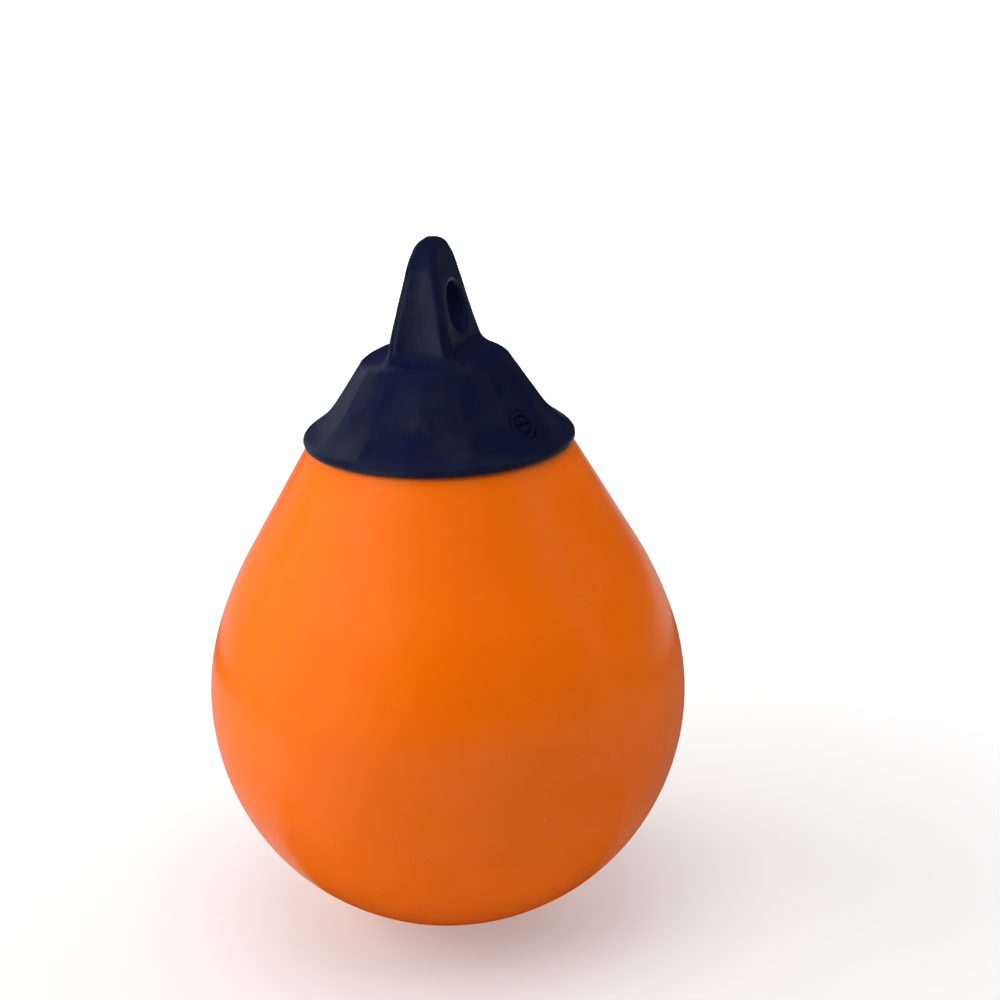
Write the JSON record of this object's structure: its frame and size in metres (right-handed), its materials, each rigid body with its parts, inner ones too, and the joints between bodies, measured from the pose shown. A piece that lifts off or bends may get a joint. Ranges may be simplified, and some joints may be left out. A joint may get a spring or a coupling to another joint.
{
  "type": "inflatable teardrop buoy",
  "caption": "Inflated vinyl teardrop buoy or fender with a moulded cap, a rope eye in its lug and a screw-down air valve in the cap's skirt.",
  "frame": {"origin": "centre of the rope eye, where a rope or shackle holds the buoy up", "axes": "+Z is the buoy's axis of revolution and points from the round end towards the lug; +X is the axis of the rope eye, across the lug's thickness; +Y is across the lug's width"},
  "size_m": [0.1998, 0.1998, 0.2924],
  "materials": {
    "orange_vinyl": "smooth glossy inflated vinyl",
    "navy_vinyl": "satin moulded vinyl, slightly mottled",
    "valve_nylon": "satin moulded nylon",
    "screw_nylon": "satin moulded nylon",
    "seal_rubber": "matt rubber"
  },
  "bodies": {
    "float": {"body_shell": "orange_vinyl", "rope_hold": "navy_vinyl", "valve_insert": "valve_nylon"},
    "valve_ring": {"valve_seal": "seal_rubber"},
    "valve_plug": {"valve_screw": "screw_nylon"}
  },
  "joints": [
    {"name": "valve_lift", "type": "slide", "parent": "float", "child": "valve_ring", "axis": [0.7574, -0.3372, 0.5592], "range_m": [0, 0.009]},
    {"name": "valve_turn", "type": "hinge", "parent": "valve_ring", "child": "valve_plug", "pos_m": [0.04032, -0.01795, -0.0423], "axis": [0.7574, -0.3372, 0.5592], "range_deg": [0, 1800]}
  ],
  "couplings": [
    {"joint": "valve_turn", "follows": "valve_lift", "rad_per_m": 3490.7}
  ]
}
